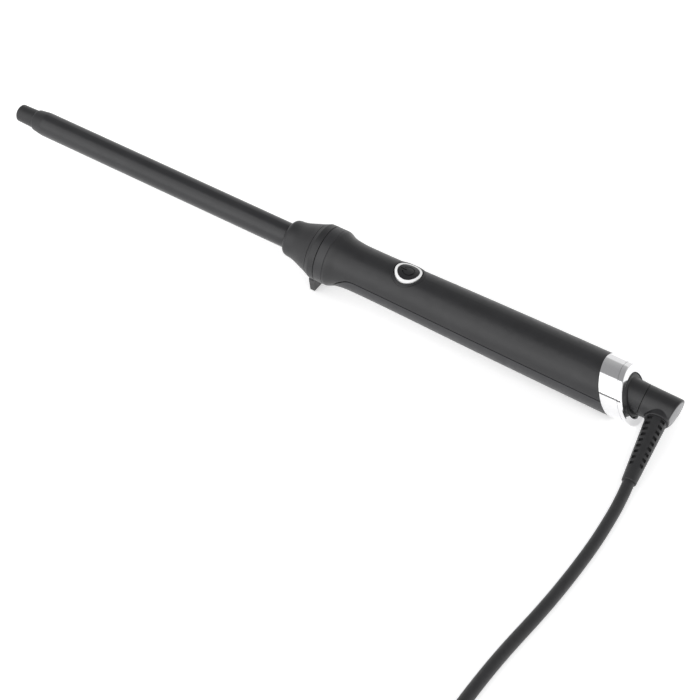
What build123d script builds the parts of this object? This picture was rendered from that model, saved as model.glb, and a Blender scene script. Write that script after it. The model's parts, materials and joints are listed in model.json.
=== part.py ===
from build123d import *
import os
from math import atan2, cos, pi, radians, sin, tan

os.makedirs("parts", exist_ok=True)

# A curling wand with a slim round barrel, lying on its stand foot and its chrome end ring.
# The wand is modelled along its own axis: x runs from the tip to the rear, z towards the
# power button. That axis leans, because the foot is longer than the end ring's radius.

# --- Barrel and tip -------------------------------------------------------------------
TIP_R = 5.3  # the part of the cool tip that is held
SHOULDER_R = 6.4
TIP_END = 11.7
SHOULDER_END = 14.0
BARREL_START = 19.3
BARREL_R = 7.0
BARREL_WALL = 0.8
BARREL_SEAT = 183.2  # behind this the barrel is drawn in, for its insulator
BARREL_SEAT_R = 6.4
BARREL_END = 205.0
SPREADER_R = BARREL_R - BARREL_WALL - 0.05
HEATER_THICK = 1.3

# --- Collar, stand ring and trim band -------------------------------------------------
NOSE_START = 183.6
NOSE_END = 201.3
NOSE_R = 10.3
NOSE_REAR_R = 14.4
STAND_END = 207.2
TRIM_END = 212.4
RING_R = 15.5
SPIGOT_R = 12.0
SLEEVE_R = 9.0
FOOT_R = 25.6  # from the wand's axis to the foot's flat end
FOOT_HALF_WIDTH = 5.2
FOOT_HEEL = 203.1

# --- Handle ---------------------------------------------------------------------------
HANDLE_WALL = 1.8
WAIST = 229.0
WAIST_R = 12.7
HANDLE_REAR_R = 14.42
BULKHEAD_END = 215.0
PANEL_START = 216.8
SEAM_HEIGHT = 0.4
SEAM_GAP = 0.45

# --- Slanted chrome end ---------------------------------------------------------------
SLANT = 0.52  # how far the end leans rearwards for each mm below the axis
BAND_START = 371.4
BAND_LONG = 9.2
BEZEL_LONG = 2.8
BEZEL_ROUNDING = 0.7
END_R = 14.5
END_SPIGOT_R = 12.85
BEZEL_HOLE_R = 10.75
RAW_START = 355.0  # the slanted pieces are turned between these two and then cut
RAW_END = 400.0

# --- Swivel ---------------------------------------------------------------------------
FLANGE_R = 10.3
NECK_END = 388.0
NECK_R = 8.2
TURN_GAP = 0.3
ELBOW_END = 404.7
END_TILT = radians(10)  # how far the elbow's end face turns to the cord's side
ELBOW_R = 7.9
STEM_R = 5.4
STEM_CLEARANCE = 0.05
STEM_START = 350.0
STEM_END = 392.0
DISC_R = 6.8

# --- Cord -----------------------------------------------------------------------------
CORD_R = 2.9
BOOT_X = 397.5  # where the boot's middle line meets the wand's axis
BOOT_START = 8.6
BOOT_ROOT_R = 5.4
BOOT_TIP_R = 3.6
SLOT_COUNT = 9
SLOT_FIRST = 10.1
SLOT_PITCH = 3.3
# The route of the cord on the table, from the boot to the coil. The boot points at its start.
CORD_ROUTE = [
    (197.0, -44.4, 4.4),
    (197.4, -51.5, 2.9),
    (197.9, -64.4, 2.9),
    (197.2, -89.0, 2.9),
    (193.2, -125.0, 2.9),
    (185.3, -167.0, 2.9),
    (181.5, -212.0, 2.9),
    (184.4, -254.5, 2.9),
    (184.2, -292.0, 2.9),
]
COIL_CENTRE = (141.5, -292.0)
COIL_R = 34.0
LAST_TURN_R = 26.0
TURNS_WIDE = 4
TURNS_HIGH = 3
TIE_AT = 150.0
TIE_ARC = 14.0
TIE_THICK = 1.0

# --- Plug -----------------------------------------------------------------------------
PLUG_WIDE = 35.3
PLUG_THICK = 13.7
PLUG_LONG = 34.0
PLUG_RELIEF = 20.0
PIN_R = 2.0
PIN_CORE_R = 1.5
PIN_LONG = 19.0
PIN_SPACING = 18.6
PIN_SLEEVE_LONG = 10.0

# --- How the wand lies ----------------------------------------------------------------
RING_HEEL = BAND_START + BAND_LONG + BEZEL_LONG + SLANT * END_R - 1.1
LEAN = atan2(FOOT_R - END_R, RING_HEEL - FOOT_HEEL)
TIP_HEIGHT = END_R * cos(LEAN) + RING_HEEL * sin(LEAN)
TIP_AT = -202.2
WAND = Plane(
    origin=(TIP_AT, 0, TIP_HEIGHT),
    x_dir=(cos(LEAN), 0, -sin(LEAN)),
    z_dir=(sin(LEAN), 0, cos(LEAN)),
)
SIDE = Plane(origin=WAND.origin, x_dir=WAND.x_dir, z_dir=-WAND.y_dir)
SPINE = Axis(WAND.origin, WAND.x_dir)


def across(x):
    """The plane square to the wand's axis at x: its own x is across the wand, its y is up."""
    return Plane(origin=WAND.from_local_coords((x, 0, 0)), x_dir=(0, 1, 0), z_dir=WAND.x_dir)


def place(x, y=0.0, z=0.0):
    """A place on the wand, turned with it."""
    return WAND.location * Location((x, y, z))


def turn(*outline, mode=Mode.ADD):
    """Turns a closed outline of (along the axis, radius) points about the wand's axis."""
    with BuildSketch(SIDE) as face:
        with BuildLine():
            Polyline(*outline, close=True)
        make_face()
    revolve(face.sketch, axis=SPINE, mode=mode)


def ring(start, end, outer, inner=0.0, mode=Mode.ADD):
    """A plain ring or disc round the wand's axis."""
    turn((start, inner), (end, inner), (end, outer), (start, outer), mode=mode)


def slanted_cut(x, keep_front):
    """Cuts a piece along the slanted plane that crosses the axis at x."""
    reach = 60.0
    edge = [(x - SLANT * reach, reach), (x + SLANT * reach, -reach)]
    away = 500.0 if keep_front else -500.0
    with BuildSketch(SIDE) as face:
        with BuildLine():
            Polyline(*edge, (x + away, -reach), (x + away, reach), close=True)
        make_face()
    extrude(face.sketch, amount=reach, both=True, mode=Mode.SUBTRACT)


def bar(x, y, z, long, wide, high, mode=Mode.ADD):
    """A block centred at a place on the wand."""
    with Locations(place(x, y, z)):
        Box(long, wide, high, mode=mode)


def stud(x, y, low, high, radius, mode=Mode.ADD):
    """A round post that stands square to the wand's axis."""
    with Locations(place(x, y, (low + high) / 2)):
        Cylinder(radius, high - low, mode=mode)


# ======================================================================================
# Barrel, tip and heater
# ======================================================================================
with BuildPart() as cool_tip:
    with BuildSketch(SIDE):
        with BuildLine():
            Line((0, 0), (0, TIP_R - 1.0))
            Line((0, TIP_R - 1.0), (0.7, TIP_R - 0.3))
            Line((0.7, TIP_R - 0.3), (TIP_END, TIP_R))
            Spline(
                (TIP_END, TIP_R),
                (SHOULDER_END - 0.6, SHOULDER_R - 0.15),
                (BARREL_START, BARREL_R),
                tangents=((0.2, 1), (1, 0.08)),
            )
            Line((BARREL_START, BARREL_R), (BARREL_START, BARREL_R - BARREL_WALL))
            Line((BARREL_START, BARREL_R - BARREL_WALL), (27.0, BARREL_R - BARREL_WALL))
            Line((27.0, BARREL_R - BARREL_WALL), (27.0, 4.2))
            Line((27.0, 4.2), (12.0, 3.4))
            Line((12.0, 3.4), (12.0, 0))
            Line((12.0, 0), (0, 0))
        make_face()
    revolve(axis=SPINE)
cool_tip.part.label = "cool_tip"
export_step(cool_tip.part, "parts/cool_tip.step")

with BuildPart() as barrel:
    turn(
        (BARREL_START, BARREL_R - BARREL_WALL),
        (BARREL_SEAT, BARREL_R - BARREL_WALL),
        (BARREL_SEAT, BARREL_SEAT_R - BARREL_WALL),
        (BARREL_END, BARREL_SEAT_R - BARREL_WALL),
        (BARREL_END, BARREL_SEAT_R),
        (BARREL_SEAT, BARREL_SEAT_R),
        (BARREL_SEAT, BARREL_R),
        (BARREL_START, BARREL_R),
    )
barrel.part.label = "barrel"
export_step(barrel.part, "parts/barrel.step")

HEATER_START = 40.0
HEATER_END = 172.0

with BuildPart() as heater_core:
    bar((HEATER_START + HEATER_END) / 2, 0, 0, HEATER_END - HEATER_START, 8.0, HEATER_THICK)
heater_core.part.label = "heater_core"
export_step(heater_core.part, "parts/heater_core.step")


def spreader(side):
    """Half a round aluminium bar, on one side of the heater."""
    with BuildSketch(across(HEATER_START - 4)) as face:
        Circle(SPREADER_R)
        with Locations((0, -side * SPREADER_R)):
            Rectangle(2 * SPREADER_R, 2 * SPREADER_R + HEATER_THICK, mode=Mode.SUBTRACT)
    extrude(face.sketch, amount=HEATER_END - HEATER_START + 8)


with BuildPart() as heat_spreader_upper:
    spreader(1)
heat_spreader_upper.part.label = "heat_spreader_upper"
export_step(heat_spreader_upper.part, "parts/heat_spreader_upper.step")

with BuildPart() as heat_spreader_lower:
    spreader(-1)
heat_spreader_lower.part.label = "heat_spreader_lower"
export_step(heat_spreader_lower.part, "parts/heat_spreader_lower.step")

with BuildPart() as thermistor:
    with BuildSketch(across(150)):
        with Locations((5.0, 0)):
            Circle(0.55)
    extrude(amount=5)
thermistor.part.label = "thermistor"
export_step(thermistor.part, "parts/thermistor.step")

# ======================================================================================
# Collar group
# ======================================================================================
INSULATOR_START = 187.5
INSULATOR_END = 209.0
SCREW_CIRCLE_R = 7.9

with BuildPart() as barrel_insulator:
    ring(INSULATOR_START, INSULATOR_END, SLEEVE_R, BARREL_SEAT_R)
    ring(BARREL_END, INSULATOR_END, BARREL_SEAT_R, 5.4)
    with BuildSketch(across(INSULATOR_END)):
        with PolarLocations(SCREW_CIRCLE_R, 3, start_angle=30):
            Circle(0.8)
    extrude(amount=-4, mode=Mode.SUBTRACT)
barrel_insulator.part.label = "barrel_insulator"
export_step(barrel_insulator.part, "parts/barrel_insulator.step")

with BuildPart() as insulator_screws:
    with BuildSketch(across(INSULATOR_END - 4)):
        with PolarLocations(SCREW_CIRCLE_R, 3, start_angle=30):
            Circle(0.8)
    extrude(amount=4 + BULKHEAD_END - INSULATOR_END)
    with BuildSketch(across(BULKHEAD_END)):
        with PolarLocations(SCREW_CIRCLE_R, 3, start_angle=30):
            Circle(1.5)
    extrude(amount=1.2)
insulator_screws.part.label = "insulator_screws"
export_step(insulator_screws.part, "parts/insulator_screws.step")

with BuildPart() as nose_collar:
    with BuildSketch(SIDE):
        with BuildLine():
            Line((NOSE_START, BARREL_SEAT_R + 0.1), (NOSE_START, BARREL_R + 0.6))
            ThreePointArc(
                (NOSE_START, BARREL_R + 0.6),
                (NOSE_START + 0.8, NOSE_R - 1.1),
                (NOSE_START + 2.6, NOSE_R - 0.2),
            )
            Spline(
                (NOSE_START + 2.6, NOSE_R - 0.2),
                (NOSE_START + 4.5, NOSE_R),
                (191.8, 11.05),
                (196.0, 12.5),
                (NOSE_END, NOSE_REAR_R),
                tangents=((1, 0.18), (1, 0.42)),
            )
            Line((NOSE_END, NOSE_REAR_R), (NOSE_END, SLEEVE_R + 0.05))
            Line((NOSE_END, SLEEVE_R + 0.05), (INSULATOR_START, SLEEVE_R + 0.05))
            Line((INSULATOR_START, SLEEVE_R + 0.05), (INSULATOR_START, BARREL_SEAT_R + 0.1))
            Line((INSULATOR_START, BARREL_SEAT_R + 0.1), (NOSE_START, BARREL_SEAT_R + 0.1))
        make_face()
    revolve(axis=SPINE)
nose_collar.part.label = "nose_collar"
export_step(nose_collar.part, "parts/nose_collar.step")

FOOT_TOP = 13.0

with BuildPart() as stand_ring:
    # the foot: its shape from the front, narrowed to its shape from the side
    with BuildSketch(across(NOSE_END + 0.25)):
        with BuildLine():
            Polyline(
                (8.8, -FOOT_TOP),
                (FOOT_HALF_WIDTH, -FOOT_R),
                (-FOOT_HALF_WIDTH, -FOOT_R),
                (-8.8, -FOOT_TOP),
                close=True,
            )
        make_face()
        fillet(vertices().group_by(Axis.Z)[0], 2.2)
    extrude(amount=STAND_END - NOSE_END - 0.4)
    with BuildSketch(SIDE):
        with BuildLine():
            Polyline(
                (NOSE_END + 0.25, -10),
                (NOSE_END + 0.25, -FOOT_R),
                (FOOT_HEEL + 1.1, -FOOT_R),
                (FOOT_HEEL + 1.5, -10),
                close=True,
            )
        make_face()
        fillet(vertices().group_by(Axis.Z)[0], 1.2)
    extrude(amount=20, both=True, mode=Mode.INTERSECT)
    turn(
        (NOSE_END + 0.25, SPIGOT_R),
        (NOSE_END + 0.25, NOSE_REAR_R + 0.1),
        (NOSE_END + 2.3, RING_R - 0.05),
        (STAND_END - 0.3, RING_R),
        (STAND_END - 0.15, RING_R - 0.15),
        (STAND_END - 0.15, SPIGOT_R),
    )
    ring(NOSE_END - 1, STAND_END + 1, SPIGOT_R, mode=Mode.SUBTRACT)
stand_ring.part.label = "stand_ring"
export_step(stand_ring.part, "parts/stand_ring.step")

with BuildPart() as trim_band:
    turn(
        (STAND_END + 0.05, SPIGOT_R),
        (STAND_END + 0.05, RING_R - 0.2),
        (STAND_END + 0.3, RING_R),
        (TRIM_END - 0.3, RING_R),
        (TRIM_END - 0.05, RING_R - 0.2),
        (TRIM_END - 0.05, SPIGOT_R),
    )
trim_band.part.label = "trim_band"
export_step(trim_band.part, "parts/trim_band.step")

# ======================================================================================
# Handle: an upper shell with the nose spigot, and a long panel on the underside
# ======================================================================================
BUTTON_X = 254.7
BUTTON_R = 7.15  # outside the bright ring
PAD_MARGIN = 1.9
PAD_CROWN_R = 14.8
PAD_TOP = 13.2
RING_WIDE = 1.3
RING_GAP = 0.6
BUTTON_GAP = 0.3
MARK_R = 3.4
MARK_LINE = 0.6


def round_sketch(height, radius):
    """A circle over the button's middle, at a height over the wand's axis."""
    with BuildSketch(WAND.offset(height)) as face:
        with Locations((BUTTON_X, 0)):
            Circle(radius)
    return face.sketch


def crown(radius, top):
    """Keeps what is under a long round crown whose top is at a height over the axis."""
    with BuildSketch(across(BUTTON_X - 30)) as face:
        with Locations((0, top - radius)):
            Circle(radius)
    extrude(face.sketch, amount=60, mode=Mode.INTERSECT)


def handle_outside():
    """The handle's turned body, solid, with its flared front and its slowly widening grip."""
    with BuildSketch(SIDE) as face:
        with BuildLine():
            Line((TRIM_END, 0), (TRIM_END, RING_R - 0.15))
            Line((TRIM_END, RING_R - 0.15), (TRIM_END + 0.2, RING_R - 0.02))
            Line((TRIM_END + 0.2, RING_R - 0.02), (TRIM_END + 1.4, RING_R - 0.05))
            Spline(
                (TRIM_END + 1.4, RING_R - 0.05),
                (217.2, 14.0),
                (221.6, 13.1),
                (WAIST, WAIST_R),
                tangents=((1, -0.25), (1, 0)),
            )
            Spline(
                (WAIST, WAIST_R),
                (284.0, 13.45),
                (BAND_START, HANDLE_REAR_R),
                (RAW_END, HANDLE_REAR_R + 0.1),
                tangents=((1, 0), (1, 0)),
            )
            Line((RAW_END, HANDLE_REAR_R + 0.1), (RAW_END, 0))
            Line((RAW_END, 0), (TRIM_END, 0))
        make_face()
    revolve(face.sketch, axis=SPINE)
    slanted_cut(BAND_START - 0.12, keep_front=True)


REAR_BORE_R = HANDLE_REAR_R - HANDLE_WALL - 1.0


def handle_inside():
    """Hollows the handle to its wall, behind the bulkhead that the barrel is screwed to."""
    turn(
        (BULKHEAD_END, 0),
        (BULKHEAD_END, WAIST_R - HANDLE_WALL),
        (WAIST, WAIST_R - HANDLE_WALL),
        (BAND_START, REAR_BORE_R),
        (RAW_END, REAR_BORE_R),
        (RAW_END, 0),
        mode=Mode.SUBTRACT,
    )


def end_spigot():
    """The thinner rear end of the handle, which the chrome band is pushed over."""
    ring(RAW_START, RAW_END, END_SPIGOT_R, REAR_BORE_R)
    slanted_cut(BAND_START + BAND_LONG - 0.3, keep_front=True)


def panel_side(gap):
    """The underside panel as seen from the side, with a long curve up to its front corner."""
    top = SEAM_HEIGHT - gap
    front = PANEL_START + gap
    with BuildSketch(SIDE) as face:
        with BuildLine():
            Line((front, -30), (front, top - 16.4))
            Spline(
                (front, top - 16.4),
                (front + 2.7, top - 6.8),
                (front + 7.9, top - 1.8),
                (front + 15.2, top),
                tangents=((0.1, 1), (1, 0)),
            )
            Line((front + 15.2, top), (RAW_END, top))
            Line((RAW_END, top), (RAW_END, -30))
            Line((RAW_END, -30), (front, -30))
        make_face()
    return face.sketch


with BuildPart() as button_pad:
    # the low pad that the button sits on, flatter than the handle round it
    extrude(round_sketch(5, BUTTON_R + PAD_MARGIN), amount=15)
    crown(PAD_CROWN_R, PAD_TOP)

with BuildPart() as handle_upper_shell:
    handle_outside()
    add(button_pad.part)
    handle_inside()
    end_spigot()
    ring(NOSE_END + 0.1, TRIM_END, SPIGOT_R)
    ring(NOSE_END, INSULATOR_END, SLEEVE_R, mode=Mode.SUBTRACT)
    ring(INSULATOR_END, BULKHEAD_END + 1, 5.4, mode=Mode.SUBTRACT)
    with BuildSketch(across(INSULATOR_END)):
        with PolarLocations(SCREW_CIRCLE_R, 3, start_angle=30):
            Circle(0.8)
    extrude(amount=BULKHEAD_END - INSULATOR_END, mode=Mode.SUBTRACT)
    extrude(panel_side(-SEAM_GAP), amount=30, both=True, mode=Mode.SUBTRACT)
    extrude(round_sketch(5, BUTTON_R + RING_GAP), amount=15, mode=Mode.SUBTRACT)
handle_upper_shell.part.label = "handle_upper_shell"
export_step(handle_upper_shell.part, "parts/handle_upper_shell.step")

with BuildPart() as handle_lower_panel:
    handle_outside()
    handle_inside()
    end_spigot()
    extrude(panel_side(0), amount=30, both=True, mode=Mode.INTERSECT)
handle_lower_panel.part.label = "handle_lower_panel"
export_step(handle_lower_panel.part, "parts/handle_lower_panel.step")

# ======================================================================================
# Button, its bright ring and the switch under it
# ======================================================================================
with BuildPart() as button_light_ring:
    extrude(round_sketch(8.2, BUTTON_R), amount=12)
    extrude(round_sketch(8.2, BUTTON_R - RING_WIDE), amount=12, mode=Mode.SUBTRACT)
    crown(PAD_CROWN_R, PAD_TOP + 0.15)
button_light_ring.part.label = "button_light_ring"
export_step(button_light_ring.part, "parts/button_light_ring.step")

SWITCH_TOP = 2.9
PLUNGER_TOP = 7.9

with BuildPart() as power_button:
    extrude(round_sketch(10.6, BUTTON_R - RING_WIDE - BUTTON_GAP), amount=9)
    crown(14.0, PAD_TOP + 0.25)
    stud(BUTTON_X, 0, PLUNGER_TOP, 10.7, 1.8)
    # the power mark: an open circle with a bar through the gap, sunk a little into the face
    with BuildSketch(WAND.offset(PAD_TOP - 0.35)):
        with Locations((BUTTON_X, 0)):
            Circle(MARK_R)
            Circle(MARK_R - MARK_LINE, mode=Mode.SUBTRACT)
        with Locations((BUTTON_X - MARK_R, 0)):
            Rectangle(2.8, 2.6, mode=Mode.SUBTRACT)
        with Locations((BUTTON_X - 0.8 * MARK_R, 0)):
            Rectangle(3.2, MARK_LINE)
    extrude(amount=2, mode=Mode.SUBTRACT)
power_button.part.label = "power_button"
export_step(power_button.part, "parts/power_button.step")

with BuildPart() as switch_plunger:
    stud(BUTTON_X, 0, 1.4, PLUNGER_TOP, 1.5)
switch_plunger.part.label = "switch_plunger"
export_step(switch_plunger.part, "parts/switch_plunger.step")

# ======================================================================================
# Circuit board and what is on it
# ======================================================================================
BOARD_START = 236.0
BOARD_END = 331.0
BOARD_TOP = -1.4
BOARD_THICK = 1.6
BOARD_WIDE = 18.0
BOARD_SCREWS = [(241.0, 6.0), (241.0, -6.0), (326.0, 6.0), (326.0, -6.0)]
BOARD_MIDDLE = (BOARD_START + BOARD_END) / 2

with BuildPart() as circuit_board:
    board_height = BOARD_TOP - BOARD_THICK / 2
    bar(BOARD_MIDDLE, 0, board_height, BOARD_END - BOARD_START, BOARD_WIDE, BOARD_THICK)
    for screw_x, screw_y in BOARD_SCREWS:
        stud(screw_x, screw_y, BOARD_TOP - 3, BOARD_TOP + 1, 0.9, mode=Mode.SUBTRACT)
circuit_board.part.label = "circuit_board"
export_step(circuit_board.part, "parts/circuit_board.step")

with BuildPart() as tact_switch:
    bar(BUTTON_X, 0, (BOARD_TOP + SWITCH_TOP) / 2, 6.0, 6.0, SWITCH_TOP - BOARD_TOP)
    stud(BUTTON_X, 0, 0.2, SWITCH_TOP + 1, 1.6, mode=Mode.SUBTRACT)
tact_switch.part.label = "tact_switch"
export_step(tact_switch.part, "parts/tact_switch.step")

with BuildPart() as status_leds:
    for led_x in (BUTTON_X - 5.0, BUTTON_X + 5.5):
        bar(led_x, 0, BOARD_TOP + 0.6, 2.0, 1.2, 1.2)
status_leds.part.label = "status_leds"
export_step(status_leds.part, "parts/status_leds.step")

with BuildPart() as control_chip:
    bar(272.0, 0, BOARD_TOP + 0.8, 10.0, 6.0, 1.6)
control_chip.part.label = "control_chip"
export_step(control_chip.part, "parts/control_chip.step")

with BuildPart() as triac:
    bar(290.0, 0, BOARD_TOP + 2.2, 10.0, 9.0, 4.4)
    bar(297.5, 0, BOARD_TOP + 0.6, 5.0, 9.0, 1.2)
triac.part.label = "triac"
export_step(triac.part, "parts/triac.step")

with BuildPart() as filter_capacitor:
    bar(307.0, 0, BOARD_TOP + 4.0, 8.0, 12.0, 8.0)
    fillet(filter_capacitor.edges().filter_by(Axis((0, 0, 0), WAND.z_dir)), 0.8)
filter_capacitor.part.label = "filter_capacitor"
export_step(filter_capacitor.part, "parts/filter_capacitor.step")

with BuildPart() as line_fuse:
    with BuildSketch(across(314.0)):
        with Locations((0, BOARD_TOP + 1.8)):
            Circle(1.8)
    extrude(amount=9)
line_fuse.part.label = "line_fuse"
export_step(line_fuse.part, "parts/line_fuse.step")

CRADLE_START = 234.0
CRADLE_END = 333.0
CRADLE_R = 10.6

with BuildPart() as board_cradle:
    with BuildSketch(across(CRADLE_START)):
        Circle(CRADLE_R)
        Circle(CRADLE_R - 1.3, mode=Mode.SUBTRACT)
        with Locations((0, 2 * CRADLE_R + BOARD_TOP - BOARD_THICK)):
            Rectangle(4 * CRADLE_R, 4 * CRADLE_R, mode=Mode.SUBTRACT)
    extrude(amount=CRADLE_END - CRADLE_START)
    for screw_x, screw_y in BOARD_SCREWS:
        stud(screw_x, screw_y, -7.0, BOARD_TOP - BOARD_THICK, 1.7)
        stud(screw_x, screw_y, -6.6, BOARD_TOP, 0.8, mode=Mode.SUBTRACT)
board_cradle.part.label = "board_cradle"
export_step(board_cradle.part, "parts/board_cradle.step")

with BuildPart() as board_screws:
    for screw_x, screw_y in BOARD_SCREWS:
        stud(screw_x, screw_y, -6.6, BOARD_TOP, 0.8)
        stud(screw_x, screw_y, BOARD_TOP, BOARD_TOP + 1.2, 1.6)
board_screws.part.label = "board_screws"
export_step(board_screws.part, "parts/board_screws.step")


LEAD_R = 0.9
LEAD_BEND_R = 3.0


def lead(y, *route):
    """A wire of straight runs joined by arcs, along (along the axis, height) points at y."""
    points = [WAND.from_local_coords((x, y, z)) for x, z in route]
    with BuildLine() as path:
        FilletPolyline(*points, radius=LEAD_BEND_R)
    with BuildSketch(Plane(origin=path.line @ 0, z_dir=path.line % 0)) as end:
        Circle(LEAD_R)
    sweep(end.sketch, path=path.line)


LEAD_HEIGHT = BOARD_TOP + 1.0

with BuildPart() as heater_leads:
    for lead_y in (-2.0, 2.0):
        lead(lead_y, (196.0, 0), (218.0, 0), (228.0, LEAD_HEIGHT), (242.0, LEAD_HEIGHT))
heater_leads.part.label = "heater_leads"
export_step(heater_leads.part, "parts/heater_leads.step")

with BuildPart() as supply_leads:
    for lead_y in (-3.5, 3.5):
        lead(lead_y, (325.0, LEAD_HEIGHT), (334.0, LEAD_HEIGHT), (341.0, 6.5), (349.8, 7.4))
supply_leads.part.label = "supply_leads"
export_step(supply_leads.part, "parts/supply_leads.step")

# ======================================================================================
# Chrome end ring and the neck inside it
# ======================================================================================
BAND_END = BAND_START + BAND_LONG
NECK_PLATE_R = 11.0
NECK_TUBE_R = 7.4
NECK_TUBE_START = 368.0

with BuildPart() as end_ring_band:
    ring(RAW_START, RAW_END, END_R, END_SPIGOT_R)
    slanted_cut(BAND_START, keep_front=False)
    slanted_cut(BAND_END, keep_front=True)
end_ring_band.part.label = "end_ring_band"
export_step(end_ring_band.part, "parts/end_ring_band.step")

with BuildPart() as end_ring_bezel:
    ring(RAW_START, RAW_END, END_R)
    slanted_cut(BAND_END + 0.12, keep_front=False)
    slanted_cut(BAND_END + BEZEL_LONG, keep_front=True)
    rear_edge = end_ring_bezel.faces().sort_by(SPINE)[-1].edges()
    fillet(rear_edge, BEZEL_ROUNDING)
    ring(RAW_START, RAW_END, BEZEL_HOLE_R, mode=Mode.SUBTRACT)
end_ring_bezel.part.label = "end_ring_bezel"
export_step(end_ring_bezel.part, "parts/end_ring_bezel.step")

with BuildPart() as neck_plate:
    # the slanted plate that fills the end of the handle
    ring(RAW_START, RAW_END, NECK_PLATE_R)
    slanted_cut(BAND_END - 3.5, keep_front=False)
    slanted_cut(BAND_END, keep_front=True)

with BuildPart() as neck_shoulder:
    # the slanted shoulder that stands out of the end ring
    ring(RAW_START, RAW_END, FLANGE_R)
    slanted_cut(BAND_END - 1.0, keep_front=False)
    slanted_cut(BAND_END + 3.1, keep_front=True)
    fillet(neck_shoulder.faces().sort_by(SPINE)[-1].edges(), 1.3)

with BuildPart() as swivel_neck:
    add(neck_plate.part)
    add(neck_shoulder.part)
    turn((376.0, 0), (NECK_END, 0), (NECK_END, NECK_R), (376.0, NECK_R + 0.6))
    ring(NECK_TUBE_START, 378.0, NECK_TUBE_R)
    ring(NECK_TUBE_START - 1, NECK_END + 1, STEM_R + STEM_CLEARANCE, mode=Mode.SUBTRACT)
swivel_neck.part.label = "swivel_neck"
export_step(swivel_neck.part, "parts/swivel_neck.step")

# ======================================================================================
# Swivel: stem, slip rings, brushes, clip, elbow and end disc
# ======================================================================================
STEM_CORE_R = 4.0
STEM_BORE_R = 2.4
SLIP_R = 5.2
SLIP_WIDE = 3.0
SLIP_RINGS = [353.0, 359.0]
CLIP_START = 366.2
CLIP_THICK = 1.2
BRUSH_BLOCK = (350.0, 364.0)
BRUSH_GAP = 0.3

with BuildPart() as swivel_stem:
    ring(STEM_START, 363.0, STEM_CORE_R, STEM_BORE_R)
    ring(363.0, STEM_END, STEM_R, STEM_BORE_R)
    ring(CLIP_START, CLIP_START + CLIP_THICK, STEM_R + 1, STEM_R - 0.8, mode=Mode.SUBTRACT)
swivel_stem.part.label = "swivel_stem"
export_step(swivel_stem.part, "parts/swivel_stem.step")

with BuildPart() as slip_rings:
    for start in SLIP_RINGS:
        ring(start, start + SLIP_WIDE, SLIP_R, STEM_CORE_R)
slip_rings.part.label = "slip_rings"
export_step(slip_rings.part, "parts/slip_rings.step")

with BuildPart() as retaining_clip:
    ring(CLIP_START, CLIP_START + CLIP_THICK, 7.2, STEM_R - 0.8)
    with Locations(place(CLIP_START, 0, -6)):
        Box(6, 5.0, 8.0, mode=Mode.SUBTRACT)
retaining_clip.part.label = "retaining_clip"
export_step(retaining_clip.part, "parts/retaining_clip.step")


def brushes(mode=Mode.ADD):
    """The four contact strips, two for each slip ring, over and under the stem."""
    for start in SLIP_RINGS:
        for side in (-1, 1):
            middle = side * (SLIP_R + BRUSH_GAP + 2.0)
            bar(start + SLIP_WIDE / 2, 0, middle, 2.0, 3.0, 4.0, mode=mode)


with BuildPart() as brush_block:
    block_long = BRUSH_BLOCK[1] - BRUSH_BLOCK[0]
    bar((BRUSH_BLOCK[0] + BRUSH_BLOCK[1]) / 2, 0, 0, block_long, 15.0, 17.0)
    ring(BRUSH_BLOCK[0] - 1, BRUSH_BLOCK[1] + 1, 6.3, mode=Mode.SUBTRACT)
    brushes(mode=Mode.SUBTRACT)
brush_block.part.label = "brush_block"
export_step(brush_block.part, "parts/brush_block.step")

with BuildPart() as brush_contacts:
    brushes()
brush_contacts.part.label = "brush_contacts"
export_step(brush_contacts.part, "parts/brush_contacts.step")

# The boot's own plane: its origin on the wand's axis, z along the boot, x along the wand.
BOOT_ORIGIN = WAND.from_local_coords((BOOT_X, 0, 0))
BOOT_TIP = Vector(*CORD_ROUTE[0])
BOOT_LONG = (BOOT_TIP - BOOT_ORIGIN).length
BOOT = Plane(origin=BOOT_ORIGIN, x_dir=WAND.x_dir, z_dir=BOOT_TIP - BOOT_ORIGIN)
BOOT_AXIS = Axis(BOOT.origin, BOOT.z_dir)
COLLAR_R = 6.2

# The elbow's end face: its z points out of the elbow.
END_OUT = WAND.from_local_coords((cos(END_TILT), -sin(END_TILT), 0)) - WAND.origin
END_FACE = Plane(origin=WAND.from_local_coords((ELBOW_END, 0, 0)), x_dir=WAND.z_dir, z_dir=END_OUT)
END_SINK = 1.1

with BuildPart() as swivel_elbow:
    elbow_start = NECK_END + TURN_GAP
    turn(
        (elbow_start, 0),
        (elbow_start, NECK_R),
        (ELBOW_END + 3, ELBOW_R),
        (ELBOW_END + 3, 0),
    )
    with BuildSketch(END_FACE):
        Circle(2 * ELBOW_R)
    extrude(amount=6, mode=Mode.SUBTRACT)
    fillet(swivel_elbow.faces().sort_by(SPINE)[-1].edges(), 0.8)
    with BuildSketch(BOOT):
        Circle(COLLAR_R)
    extrude(amount=BOOT_START)
    fillet(swivel_elbow.edges().filter_by(GeomType.BSPLINE), 0.8)
    fillet(swivel_elbow.faces().sort_by(BOOT_AXIS)[-1].edges(), 0.5)
    ring(elbow_start - 1, STEM_END, STEM_R, mode=Mode.SUBTRACT)
    ring(STEM_END, 402.0, 4.6, mode=Mode.SUBTRACT)
    with BuildSketch(END_FACE.offset(-END_SINK)):
        Circle(DISC_R)
    extrude(amount=END_SINK + 1, mode=Mode.SUBTRACT)
    with BuildSketch(BOOT):
        Circle(4.2)
    extrude(amount=BOOT_START + 1, mode=Mode.SUBTRACT)
swivel_elbow.part.label = "swivel_elbow"
export_step(swivel_elbow.part, "parts/swivel_elbow.step")

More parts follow.
